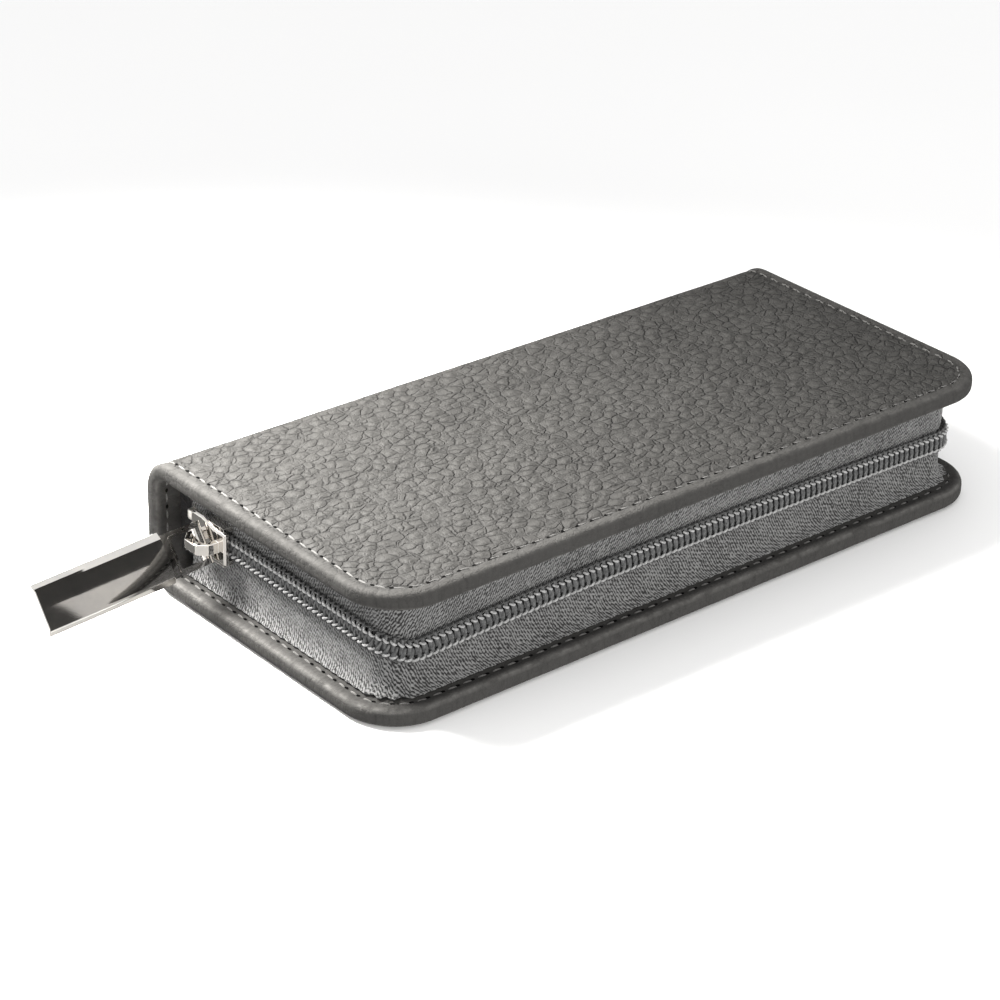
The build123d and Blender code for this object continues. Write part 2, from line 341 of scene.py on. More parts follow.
def ribbed_elastic(name):
    """Elastic webbing with ribs across."""
    f = Finish(name)
    along, across = f.sheet_place()
    rib = ((along * (2 * math.pi / 0.9)).sine() + 1) * 0.5
    cord = ((across * (2 * math.pi / 1.2)).sine() + 1) * 0.5
    fuzz = f.noise(f.place(), 0.4, 3.0)
    colour = f.blend((rib * 0.6 + fuzz * 0.5).ramp(0.2, 0.9), grey(0.006), grey(0.035))
    normal = f.bump(rib * 0.7 + cord * 0.3 + fuzz * 0.2, 0.18)
    return f.set(Base_Color=colour, Roughness=0.8, Normal=normal, Sheen_Weight=0.2)


def polished_nickel(name, rough=0.035):
    """Polished nickel with faint wiping marks."""
    f = Finish(name)
    place = f.place()
    marks = f.noise(f.place((0.25, 3.0, 3.0)), 1.2, 4.0, 0.6)
    smear = f.noise(place, 5.0, 3.0)
    colour = f.blend(smear.ramp(0.3, 0.7), grey(0.68, 0.03), grey(0.76, 0.04))
    roughness = rough + 0.05 * marks.ramp(0.55, 0.8) + 0.03 * smear
    return f.set(
        Base_Color=colour, Metallic=1.0, Roughness=roughness, Normal=f.bump(marks, 0.002),
    )


def nylon_coil(name):
    """Dull dark nylon filament."""
    f = Finish(name)
    grain = f.noise(f.place(), 0.6, 3.0)
    colour = f.blend(grain.ramp(0.3, 0.7), grey(0.035, -0.02), grey(0.085, -0.01))
    return f.set(Base_Color=colour, Roughness=0.42 + 0.15 * grain, Normal=f.bump(grain, 0.03))


def needle_hole_shade_finish(name):
    """Painted shade of a needle hole."""
    f = Finish(name)
    speck = f.noise(f.place(), 0.3, 2.0)
    colour = f.blend(speck, grey(0.002), grey(0.006))
    return f.set(Base_Color=colour, Roughness=0.9, Specular_IOR_Level=0.0)


def grey_board(name):
    """Raw bookbinder's board."""
    f = Finish(name)
    fibre = f.noise(f.place((1.0, 3.0, 3.0)), 0.8, 4.0)
    colour = f.blend(fibre.ramp(0.3, 0.7), (0.20, 0.16, 0.11, 1), (0.34, 0.28, 0.2, 1))
    return f.set(Base_Color=colour, Roughness=0.9, Normal=f.bump(fibre, 0.08))


def open_foam(name):
    """Pale open-cell foam."""
    f = Finish(name)
    cell = f.cells(f.place(), 0.6)
    colour = f.blend(cell.ramp(0.0, 0.4), (0.4, 0.39, 0.35, 1), (0.72, 0.7, 0.64, 1))
    return f.set(Base_Color=colour, Roughness=0.95, Normal=f.bump(cell, 0.15))


# ---- meshes

def new_object(name, mesh):
    piece = bpy.data.objects.new(name, mesh)
    scene.collection.objects.link(piece)
    return piece


def make_mesh(name, points, faces, finish=None, smooth=True, crisp=40.0):
    """A mesh from points in millimetres."""
    mesh = bpy.data.meshes.new(name)
    mesh.from_pydata([tuple(c * MM for c in p) for p in points], [], [tuple(f) for f in faces])
    mesh.validate()
    if finish is not None:
        mesh.materials.append(finish)
    if smooth:
        mesh.shade_smooth()
        mesh.set_sharp_from_angle(angle=math.radians(crisp))
    mesh.update()
    return mesh


def settle(piece):
    """Turns the piece's modifiers into its mesh."""
    depsgraph = bpy.context.evaluated_depsgraph_get()
    result = bpy.data.meshes.new_from_object(piece.evaluated_get(depsgraph))
    piece.modifiers.clear()
    old = piece.data
    piece.data = result
    result.name = piece.name
    bpy.data.meshes.remove(old)
    return piece


def add_values(mesh, name, values):
    attribute = mesh.attributes.new(name, "FLOAT", "POINT")
    attribute.data.foreach_set("value", np.asarray(values, np.float32))


def add_cut(mesh, places):
    """UV map in metres from one (along, across) place in millimetres for each point."""
    layer = mesh.uv_layers.new(name="cut")
    places = np.asarray(places, np.float32) * MM
    corners = np.zeros(len(mesh.loops), np.int32)
    mesh.loops.foreach_get("vertex_index", corners)
    layer.data.foreach_set("uv", places[corners].ravel())


def stand_for(piece, body, node):
    """Puts a piece on its body, in the place of a CAD node."""
    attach(piece, body)
    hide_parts(node)


def grid_faces(rows, columns, flip=False):
    """Quads of a grid of points stored row by row."""
    faces = []
    for i in range(rows - 1):
        for j in range(columns - 1):
            a = i * columns + j
            quad = (a, a + 1, a + columns + 1, a + columns)
            faces.append(quad[::-1] if flip else quad)
    return faces


def thicken(piece, thickness, bevel=0.0):
    """Gives a sheet its thickness, inwards, and rounds its cut edges."""
    solid = piece.modifiers.new("thickness", "SOLIDIFY")
    solid.thickness = thickness * MM
    solid.offset = -1.0
    solid.use_even_offset = False
    if bevel:
        edge = piece.modifiers.new("edge", "BEVEL")
        edge.width = bevel * MM
        edge.segments = 2
        edge.limit_method = "ANGLE"
        edge.angle_limit = math.radians(60)
    settle(piece)
    piece.data.set_sharp_from_angle(angle=math.radians(55))
    return piece


def wave(value, seed):
    """Smooth noise from -1 to 1 at a place along a line."""
    return noise.noise(Vector((value, seed * 7.31, 0.5)))


def stations(back, step, inset=0.0):
    """Places round the left, front and right edges: core point and outward direction."""
    side = np.linspace(back, -HALF_WIDTH + CORNER, max(2, round((back + HALF_WIDTH - CORNER) / step)))
    reach = HALF_LENGTH - CORNER
    front = np.linspace(-reach, reach, round(2 * reach / step))
    turns = max(6, round((CORNER - inset) * math.pi / 2 / step))
    corner = np.linspace(0, math.pi / 2, turns + 1)[1:-1]
    core_x = HALF_LENGTH - CORNER
    core_y = -HALF_WIDTH + CORNER
    found = [(-core_x, t, -1.0, 0.0) for t in side]
    found += [(-core_x, core_y, -math.cos(a), -math.sin(a)) for a in corner]
    found += [(x, core_y, 0.0, -1.0) for x in front]
    found += [(core_x, core_y, math.sin(a), -math.cos(a)) for a in corner]
    found += [(core_x, t, 1.0, 0.0) for t in side[::-1]]
    return found


def edge_place(station, inset):
    """Plan place at an inset from the cover's edge."""
    x, y, out_x, out_y = station
    reach = CORNER - inset
    return x + out_x * reach, y + out_y * reach


def wrapped(x, t, h):
    """Folds the flat cover round the spine: t runs back along the outside, h goes in."""
    radius = SPINE_RADIUS
    arc = radius * math.pi / 2
    if t <= FOLD_LINE:
        return (x, t, h)
    if t <= FOLD_LINE + arc:
        angle = (t - FOLD_LINE) / radius
        return (
            x, FOLD_LINE + (radius - h) * math.sin(angle), radius - (radius - h) * math.cos(angle),
        )
    return (x, HALF_WIDTH - h, radius + t - FOLD_LINE - arc)


def turned(point, upper):
    """The same place on the lid, which mirrors the base."""
    x, y, z = point
    return (x, y, HEIGHT - z) if upper else point


def rim_depth(t):
    """Thickness of the turned edge, a little less on the spine."""
    share = min(1.0, max(0.0, (t - FOLD_LINE + 1.5) / 5.0))
    return RIM + (SPINE_RIM - RIM) * share


# ---- leather skins

def section():
    """Cover section from the flat middle round the edge to the inner edge of the turn-in."""
    flat = np.linspace(CORNER, EDGE_ROUND, round((CORNER - EDGE_ROUND) / STEP) + 1)
    profile = [(i, 0.0, 0) for i in flat[1:]]
    bends = np.linspace(0, math.pi / 2, 6)[1:]
    for a in bends:
        profile.append((EDGE_ROUND - EDGE_ROUND * math.sin(a), EDGE_ROUND - EDGE_ROUND * math.cos(a), 0))
    for a in [0.0] + list(bends):
        profile.append((EDGE_ROUND - EDGE_ROUND * math.cos(a), EDGE_ROUND * math.sin(a) - EDGE_ROUND, 1))
    back = np.linspace(EDGE_ROUND, LEDGE, round((LEDGE - EDGE_ROUND) / STEP) + 1)
    profile += [(i, 0.0, 1) for i in back[1:]]
    return profile


def skin_relief(x, t, inset, upper):
    """How far the leather sinks from its plain shape, in millimetres."""
    seed = 3.7 if upper else 9.2
    slow = noise.noise(Vector((x / 31.0, t / 23.0, seed)))
    quick = noise.noise(Vector((x / 9.0, t / 8.0, seed + 4.0)))
    still = 1 - min(1.0, max(0.0, (t - FOLD_LINE) / (SPINE_END - FOLD_LINE)))
    sink = (0.12 * slow + 0.06 * quick) * still + 0.16
    seam = math.exp(-((inset - STITCH_INSET) / 0.6) ** 2)
    sink += 0.26 * seam
    if 0.2 < inset < STITCH_INSET:
        sink -= 0.1 * math.sin(math.pi * inset / STITCH_INSET)
    return sink


def leather_skin(name, upper, finish):
    """One half of the outer leather: a cover, its turned edge and half of the spine."""
    side = stations(SPINE_END, STEP)
    xs = [s[0] for s in side if s[3] == -1.0 and s[2] == 0.0]
    ts = [s[1] for s in side if s[2] == -1.0][::-1]
    points = []
    wear_and_highlight_values = []
    smooths = []
    runs = []
    girths = []
    columns = len(xs)
    for t in ts:
        for x in xs:
            sink = skin_relief(x, t, CORNER, upper)
            points.append(wrapped(x, t, sink))
            wear_and_highlight_values.append(0.0)
            smooths.append(0.0)
            runs.append(x)
            girths.append(t)
    faces = grid_faces(len(ts), columns)

    def core_index(station):
        row = int(np.argmin([abs(t - station[1]) for t in ts]))
        column = int(np.argmin([abs(x - station[0]) for x in xs]))
        return row * columns + column

    profile = section()
    rings = []
    run = 0.0
    last = None
    for station in side:
        ring = [core_index(station)]
        place = edge_place(station, 0.0)
        run += math.dist(place, last) if last else 0.0
        last = place
        rim = rim_depth(station[1])
        for inset, h, inner in profile:
            x, t = edge_place(station, inset)
            depth = rim + h if inner else h
            sink = skin_relief(x, t, inset, upper)
            corner = 1.0 if station[2] and station[3] else 0.0
            turn = math.atan2(station[3], station[2])
            pleat = corner * math.sin(turn * 34.0 + 2.0 * wave(turn * 5, 2)) * 0.12
            facing = min(1.0, depth / EDGE_ROUND) * min(1.0, (rim - depth) / EDGE_ROUND)
            out = max(0.0, facing) if inset < EDGE_ROUND else 0.0
            if out:
                x -= station[2] * sink * 0.4 * out
                t -= station[3] * sink * 0.4 * out
            elif inner:
                depth -= sink - 0.16 + pleat * min(1.0, inset / 3.0)
            else:
                depth += sink + pleat * 0.3 * math.exp(-inset / 3.0)
            ring.append(len(points))
            points.append(wrapped(x, t, depth))
            # lighter streaks along the fold and the lip of the turned edge: partly wear, partly a painted
            # highlight along the fold
            fold = math.exp(-((depth - rim + 0.35) / 0.28) ** 2) * (1.0 if inset < EDGE_ROUND else 0.0)
            lip = math.exp(-((depth - 0.35) / 0.3) ** 2) * (1.0 if inset < EDGE_ROUND else 0.0)
            wear_and_highlight_values.append(min(1.0, fold * 0.9 + lip * 0.4))
            roll = min(1.0, max(0.0, (STITCH_INSET - inset) / 1.4))
            smooths.append(1.0 if inner else 0.85 * roll)
            runs.append(run)
            girths.append(inset + depth)
        rings.append(ring)
    for first, second in zip(rings, rings[1:]):
        for k in range(len(profile)):
            loop = [first[k], first[k + 1], second[k + 1], second[k]]
            clean = [v for n, v in enumerate(loop) if v != loop[n - 1]]
            if len(clean) > 2:
                faces.append(clean)
    points = [turned(p, upper) for p in points]
    if not upper:
        faces = [f[::-1] for f in faces]
    mesh = make_mesh(name, points, faces, finish)
    add_values(mesh, "wear", wear_and_highlight_values)
    add_values(mesh, "smooth", smooths)
    add_values(mesh, "run", runs)
    add_values(mesh, "girth", girths)
    piece = new_object(name, mesh)
    return thicken(piece, SKIN)


def build_skins():
    finish = pebbled_leather("grey_pebbled_leather", grey(0.005, 0.01), grey(0.042, 0.03))
    lower = leather_skin("lower_leather", False, finish)
    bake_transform(lower)
    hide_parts("base_cover", "spine_cover")
    upper = leather_skin("upper_leather", True, finish)
    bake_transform(upper)
    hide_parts("lid_cover", "spine_cover")


# ---- rows of small things laid along a path

def laying_tree():
    """Geometry tree that lays one unit again and again along a line of edges."""
    tree = bpy.data.node_groups.new("lay_along_path", "GeometryNodeTree")
    for label, kind in (
        ("Path", "Geometry"), ("Unit", "Object"), ("Pitch", "Float"), ("Lean", "Float"),
        ("Unevenness", "Float"), ("Finish", "Material"),
    ):
        tree.interface.new_socket(label, in_out="INPUT", socket_type="NodeSocket" + kind)
    tree.interface.new_socket("Row", in_out="OUTPUT", socket_type="NodeSocketGeometry")
    n = Nodes(tree)
    start = n.add("NodeGroupInput")
    line = n.add("GeometryNodeMeshToCurve", None, {"Mesh": n.out(start, "Path")})
    spaced = n.add("GeometryNodeResampleCurve", {"mode": "LENGTH"})
    n.plug(spaced.inputs["Curve"], n.out(line))
    n.plug(spaced.inputs["Length"], n.out(start, "Pitch"))
    tangent = n.add("GeometryNodeInputTangent")
    facing = n.add("GeometryNodeInputNamedAttribute", {"data_type": "FLOAT_VECTOR"}, {"Name": "facing"})
    aim = n.add("FunctionNodeAxesToRotation", {"primary_axis": "X", "secondary_axis": "Z"})
    n.plug(aim.inputs[0], n.out(tangent))
    n.plug(aim.inputs[1], n.out(facing, "Attribute"))
    wobble = n.add("FunctionNodeRandomValue", {"data_type": "FLOAT"}, {"Seed": 11})
    low = n.out(start, "Unevenness") * -1.0
    n.plug(wobble.inputs[2], low)
    n.plug(wobble.inputs[3], n.out(start, "Unevenness"))
    turn = n.out(wobble, 1) + n.out(start, "Lean")
    spin = n.add("ShaderNodeCombineXYZ", None, {2: turn})
    euler = n.add("FunctionNodeEulerToRotation", None, {0: n.out(spin)})
    rotated = n.add("FunctionNodeRotateRotation", {"rotation_space": "LOCAL"})
    n.plug(rotated.inputs[0], n.out(aim))
    n.plug(rotated.inputs[1], n.out(euler))
    unit = n.add("GeometryNodeObjectInfo", None, {"Object": n.out(start, "Unit")})
    laid = n.add("GeometryNodeInstanceOnPoints", None, {
        "Points": n.out(spaced), "Instance": n.out(unit, "Geometry"), "Rotation": n.out(rotated),
    })
    real = n.add("GeometryNodeRealizeInstances", None, {0: n.out(laid)})
    painted = n.add("GeometryNodeSetMaterial", None, {
        "Geometry": n.out(real), "Material": n.out(start, "Finish"),
    })
    end = n.add("NodeGroupOutput")
    n.plug(end.inputs[0], n.out(painted))
    return tree


LAYING = laying_tree()


def lay_row(name, path, facing, unit, pitch, finish, lean=0.0, uneven=0.0):
    """A row of units along a path of points in millimetres."""
    mesh = bpy.data.meshes.new(name)
    edges = [(k, k + 1) for k in range(len(path) - 1)]
    mesh.from_pydata([tuple(c * MM for c in p) for p in path], edges, [])
    attribute = mesh.attributes.new("facing", "FLOAT_VECTOR", "POINT")
    attribute.data.foreach_set("vector", np.asarray(facing, np.float32).ravel())
    piece = new_object(name, mesh)
    modifier = piece.modifiers.new("row", "NODES")
    modifier.node_group = LAYING
    keys = {s.name: s.identifier for s in LAYING.interface.items_tree if s.in_out == "INPUT"}
    modifier[keys["Unit"]] = unit
    modifier[keys["Pitch"]] = pitch * MM
    modifier[keys["Lean"]] = lean
    modifier[keys["Unevenness"]] = uneven
    modifier[keys["Finish"]] = finish
    settle(piece)
    used = piece.data.attributes.get("facing")
    if used:
        piece.data.attributes.remove(used)
    piece.data.shade_smooth()
    return piece


def tube(points, radius, sides=6, flatten=1.0):
    """Closed tube through points: its points and faces."""
    rings = []
    line = [Vector(p) for p in points]
    out = []
    for k, centre in enumerate(line):
        ahead = line[min(k + 1, len(line) - 1)] - line[max(k - 1, 0)]
        ahead.normalize()
        across = ahead.orthogonal() if not out else out[-1]
        across = (across - ahead * across.dot(ahead)).normalized()
        out.append(across)
        up = ahead.cross(across)
        size = radius[k] if isinstance(radius, (list, tuple)) else radius
        rings.append([
            centre + across * size * math.cos(2 * math.pi * s / sides)
            + up * size * flatten * math.sin(2 * math.pi * s / sides)
            for s in range(sides)
        ])
    verts = [tuple(p) for ring in rings for p in ring]
    faces = []
    for k in range(len(rings) - 1):
        for s in range(sides):
            a = k * sides + s
            b = k * sides + (s + 1) % sides
            faces.append((a, b, b + sides, a + sides))
    faces.append(tuple(range(sides))[::-1])
    last = (len(rings) - 1) * sides
    faces.append(tuple(range(last, last + sides)))
    return verts, faces


def unit_object(name, shapes):
    """A hidden object that rows repeat."""
    points = []
    faces = []
    for verts, polys in shapes:
        base = len(points)
        points += verts
        faces += [tuple(i + base for i in f) for f in polys]
    piece = new_object(name, make_mesh(name, points, faces))
    piece.hide_render = True
    return piece


UNITS = []


def stitch_unit(name, length, radius, lift):
    """One stitch: a short arched thread whose ends dive into the leather."""
    spread = np.linspace(-1, 1, 7)
    path = [(s * length / 2, 0, lift - (lift + radius * 1.6) * abs(s) ** 4) for s in spread]
    sizes = [radius * (0.75 + 0.25 * (1 - abs(s))) for s in spread]
    piece = unit_object(name, [tube(path, sizes, 6)])
    UNITS.append(piece)
    return piece


def hole_unit(name, length, width):
    """A lens of painted shade pressed into the leather where the needle went in."""
    sides = 8
    ring = [
        (length / 2 * math.cos(2 * math.pi * k / sides), width / 2 * math.sin(2 * math.pi * k / sides), 0.18)
        for k in range(sides)
    ]
    points = ring + [(0, 0, 0.24), (0, 0, -0.25)]
    faces = [(k, (k + 1) % sides, sides) for k in range(sides)]
    faces += [((k + 1) % sides, k, sides + 1) for k in range(sides)]
    piece = unit_object(name, [(points, faces)])
    UNITS.append(piece)
    return piece


def tooth_unit(name, upward):
    """One turn of the coil: out over the front, round the head and back behind."""
    way = 1.0 if upward else -1.0
    path = [
        (-0.3, -2.3, 0.0), (-0.26, -1.6, 0.28), (-0.12, -0.8, 0.38), (0.0, 0.1, 0.34),
        (0.05, 0.5, 0.1), (0.06, 0.5, -0.3), (0.14, 0.0, -0.6), (0.35, -1.0, -0.7),
        (0.5, -2.2, -0.6),
    ]
    path = [(x, y * way, z) for x, y, z in path]
    sizes = [0.36, 0.4, 0.4, 0.38, 0.36, 0.34, 0.34, 0.34, 0.3]
    piece = unit_object(name, [tube(path, sizes, 6)])
    UNITS.append(piece)
    return piece


def cover_row(inset, inner, upper, back, shift=0.0):
    """Path of a stitch row at an inset, on the outside or on the turned edge."""
    path = []
    facing = []
    for station in stations(back, 1.2):
        x, t = edge_place(station, inset)
        rim = rim_depth(station[1])
        sink = skin_relief(x, t, inset, upper)
        depth = rim - (sink - 0.16) if inner else sink
        here = wrapped(x, t, depth - shift if not inner else depth + shift)
        beyond = wrapped(x, t, depth + 1.0 if inner else depth - 1.0)
        here = turned(here, upper)
        beyond = turned(beyond, upper)
        path.append(here)
        facing.append([b - a for a, b in zip(here, beyond)])
    return path, facing


def build_stitching():
    """Stitches and needle holes on both faces of both turned edges."""
    thread = thread_finish("pale_grey_thread", 0.1)
    # the needle holes' near-black finish is painted shade
    painted_shade = needle_hole_shade_finish("needle_hole")
    long_stitch = stitch_unit("long_stitch_unit", 2.9, 0.19, 0.1)
    short_stitch = stitch_unit("short_stitch_unit", 2.2, 0.2, 0.1)
    hole = hole_unit("hole_unit", 0.95, 0.62)
    back = SPINE_END - 1.4
    for upper in (False, True):
        half = "upper" if upper else "lower"
        for inner in (False, True):
            face = "inner" if inner else "outer"
            path, facing = cover_row(STITCH_INSET, inner, upper, back)
            lean = 0.1 if inner == upper else -0.1
            stitch = short_stitch if inner else long_stitch
            row = lay_row(
                f"{half}_{face}_stitches", path, facing, stitch, STITCH_PITCH, thread, lean, 0.05,
            )
            join_fold(row, upper)
            holes_path = offset_start(path, STITCH_PITCH / 2)
            holes_facing = facing[:len(holes_path)]
            holes = lay_row(
                f"{half}_{face}_needle_holes", holes_path, holes_facing, hole, STITCH_PITCH, painted_shade,
            )
            join_fold(holes, upper)


def offset_start(path, distance):
    """The same path with its first stretch cut off."""
    first = Vector(path[0])
    second = Vector(path[1])
    while (second - first).length < distance:
        distance -= (second - first).length
        path = path[1:]
        first = Vector(path[0])
        second = Vector(path[1])
    start = first + (second - first).normalized() * distance
    return [tuple(start)] + list(path[1:])


def join_fold(piece, upper):
    """Bakes the piece's placement into its mesh, alike for both halves."""
    if upper:
        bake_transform(piece)
    else:
        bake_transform(piece)


# ---- gusset tapes and coil

def chain_lift(station):
    """How far the chain hangs under its nominal height, from the left end round to the right."""
    x, y, out_x, out_y = station
    if out_x < 0:
        if out_y == 0:
            share = (SLIDER_Y - y) / (SLIDER_Y + HALF_WIDTH - CORNER)
            return -0.3 * max(0.0, share) ** 1.5
        turn = math.atan2(-out_y, -out_x) / (math.pi / 2)
        return -0.3 - 2.3 * turn * turn * (3 - 2 * turn)
    if out_x > 0:
        return -2.0
    share = x / (HALF_LENGTH - CORNER)
    return -1.1 - (1.5 if share < 0 else 0.9) * share * share


def corner_share(station):
    """From 0 on a straight run to 1 in the middle of a corner."""
    return abs(station[2] * station[3]) * 2


def tape_wall(name, upper, finish):
    """Woven tape: its foot flares out over the turned edge to the stitches, tucked at the corners."""
    path = stations(TAPE_BACK, 0.6, TAPE_INSET)
    rows = 22
    points = []
    cuts = []
    travelled = 0.0
    previous = None
    for station in path:
        x, y = edge_place(station, TAPE_INSET)
        if previous is not None:
            travelled += math.hypot(x - previous[0], y - previous[1])
        previous = (x, y)
        edge = CHAIN_HEIGHT + chain_lift(station) + (0.45 if upper else -0.45)
        top = HEIGHT - edge if upper else edge
        near_corner = corner_share(station)
        width = 0.0
        for k in range(rows):
            share = (k / (rows - 1)) ** 1.5
            z = RIM + 0.42 + (top - RIM - 0.42) * share
            foot = math.exp(-(max(0.0, z - RIM - 0.42) / 1.1) ** 1.2)
            tuck = math.sin(travelled * 2 * math.pi / 2.3 + 2.4 * wave(travelled / 3, 3))
            gather = foot * (0.45 * near_corner + 0.12)
            bulge = 0.45 * math.sin(math.pi * share) * (1 + 0.7 * wave(travelled / 17, 5))
            slack = 0.25 * wave(travelled / 6, 8) * math.sin(math.pi * share)
            out = tuck * gather + bulge + slack + FLARE * foot
            z += abs(tuck) * gather * 0.5
            here = (x + station[2] * out, y + station[3] * out, z)
            if k:
                width += math.dist(here, last_point)
            last_point = here
            points.append(turned(here, upper))
            cuts.append((travelled, width))
    faces = grid_faces(len(path), rows, flip=not upper)
    mesh = make_mesh(name, points, faces, finish, crisp=180.0)
    add_cut(mesh, cuts)
    piece = new_object(name, mesh)
    thicken(piece, 0.5)
    return piece, travelled


def build_gusset():
    weave = heather_tape("heather_gusset_tape")
    coil = nylon_coil("dark_nylon_coil")
    thread = thread_finish("pale_chain_thread", 0.36, 0.0)
    lower_tooth = tooth_unit("lower_tooth_unit", True)
    upper_tooth = tooth_unit("upper_tooth_unit", False)
    # the outer row of chain stitches uses a much darker copy of the chain thread's finish
    darker_edge_thread = thread_finish("grey_chain_thread", 0.045, 0.0)
    stitch = stitch_unit("chain_stitch_unit", 1.25, 0.27, 0.02)
    outer_stitch = stitch_unit("outer_chain_unit", 1.4, 0.18, 0.0)
    for upper in (False, True):
        half = "upper" if upper else "lower"
        body = "lid" if upper else "base"
        wall, length = tape_wall(half + "_gusset", upper, weave)
        width = FLARE + ((HEIGHT - RIM - CHAIN_HEIGHT) if upper else (CHAIN_HEIGHT - RIM))
        stand_for(wall, body, half + "_tape")
        width * MM
        rows = chain_rows(upper)
        teeth = lay_row(
            half + "_coil_turns", *rows["teeth"], upper_tooth if upper else lower_tooth,
            COIL_PITCH, coil,
        )
        stand_for(teeth, body, half + "_coil")
        lean = -0.4 if upper else 0.4
        chain = lay_row(
            half + "_chain_stitches", *rows["thread"], stitch, COIL_PITCH, thread, lean, 0.08,
        )
        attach(chain, body)
        edge = lay_row(
            half + "_chain_edge", *rows["edge"], outer_stitch, COIL_PITCH, darker_edge_thread, -lean, 0.08,
        )
        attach(edge, body)


def chain_rows(upper):
    """Paths of the coil turns and of the chain stitches of one half."""
    teeth = ([], [])
    thread = ([], [])
    edge = ([], [])
    side = 1.0 if upper else -1.0
    for station in stations(TAPE_BACK - 1.0, 0.5, COIL_INSET):
        x, y = edge_place(station, COIL_INSET + 0.75)
        if station[2] < 0 and station[3] == 0 and y > SLIDER_Y - SLIDER_HALF + 1.2:
            continue
        if station[2] > 0 and station[3] == 0 and y > TAPE_BACK - 4.0:
            continue
        lift = chain_lift(station)
        z = CHAIN_HEIGHT + lift
        facing = (station[2], station[3], 0.0)
        teeth[0].append((x, y, z))
        teeth[1].append(facing)
        out_x, out_y = edge_place(station, COIL_INSET - 0.02)
        thread[0].append((out_x, out_y, z + side * CHAIN_ROW))
        thread[1].append(facing)
        deep_x, deep_y = edge_place(station, COIL_INSET + 0.5)
        edge[0].append((deep_x, deep_y, z + side * (CHAIN_ROW + 0.85)))
        edge[1].append(facing)
    if upper:
        teeth = (offset_start(teeth[0], COIL_PITCH / 2), teeth[1])
        teeth = (teeth[0], teeth[1][-len(teeth[0]):])
    return {"teeth": teeth, "thread": thread, "edge": edge}


# ---- inside

def flat_sheet(
    name, box_low, box_high, finish, facing_up, corner=0.0, thickness=0.6, step=1.5, relief=0.15,
):
    """A laid sheet inside a box, with rounded front corners and a soft surface."""
    width = box_high[0] - box_low[0]
    depth = box_high[1] - box_low[1]
    columns = max(3, round(width / step))
    rows = max(3, round(depth / step))
    points = []
    cuts = []
    for j in range(rows):
        y = box_low[1] + depth * j / (rows - 1)
        room = 0.0
        if corner and y < box_low[1] + corner:
            room = corner - math.sqrt(max(0.0, corner ** 2 - (box_low[1] + corner - y) ** 2))
        for i in range(columns):
            share = i / (columns - 1)
            x = box_low[0] + room + (width - 2 * room) * share
            lift = relief * (0.5 + 0.5 * noise.noise(Vector((x / 11, y / 9, 1.7))))
            edge = min(share, 1 - share) * width
            front = min(y - box_low[1], box_high[1] - y)
            lift *= min(1.0, min(edge, front) / 3.0)
            z = box_high[2] - relief + lift if facing_up else box_low[2] + relief - lift
            points.append((x, y, z))
            cuts.append((x - box_low[0], y - box_low[1]))
    faces = grid_faces(rows, columns, flip=not facing_up)
    mesh = make_mesh(name, points, faces, finish)
    add_cut(mesh, cuts)
    piece = new_object(name, mesh)
    thicken(piece, thickness)
    return piece


def build_linings():
    cloth = soft_cloth("charcoal_lining", 0.02)
    for half, body in (("base", "base"), ("lid", "lid")):
        low, high = cad_size(half + "_lining")
        piece = flat_sheet(half + "_lining_cloth", low, high, cloth, half == "base", 5.0)
        stand_for(piece, body, half + "_lining")
        size = ((high[1] - low[1]) * MM, (high[0] - low[0]) * MM)
    for upper in (False, True):
        half = "upper" if upper else "lower"
        piece, size = spine_cloth(half + "_spine_lining", upper, cloth)
        if upper:
            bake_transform(piece)
        else:
            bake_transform(piece)
        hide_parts("spine_lining")


def spine_cloth(name, upper, finish):
    """Half of the spine's lining, from the middle of the spine over the fold onto the panel."""
    low, high = cad_size("spine_lining")
    depth = 2.4
    cover_top = lining_high[2] - 0.1
    start = lining_high[1] - 3.0
    ts = np.linspace(start, SPINE_END, 40)
    xs = np.linspace(low[0], high[0], 100)
    points = []
    cuts = []
    for t in ts:
        share = min(1.0, max(0.0, (t - start) / 6.0))
        h = cover_top + 0.35 + (depth - cover_top - 0.35) * share * share * (3 - 2 * share)
        for x in xs:
            ripple = 0.1 * noise.noise(Vector((x / 7, t / 3, 6.1)))
            points.append(turned(wrapped(x, t, h + ripple), upper))
            cuts.append((x - low[0], t - start))
    faces = grid_faces(len(ts), len(xs), flip=upper)
    mesh = make_mesh(name, points, faces, finish)
    add_cut(mesh, cuts)
    piece = new_object(name, mesh)
    thicken(piece, 0.5)
    return piece, ((SPINE_END - start) * MM, (high[0] - low[0]) * MM)


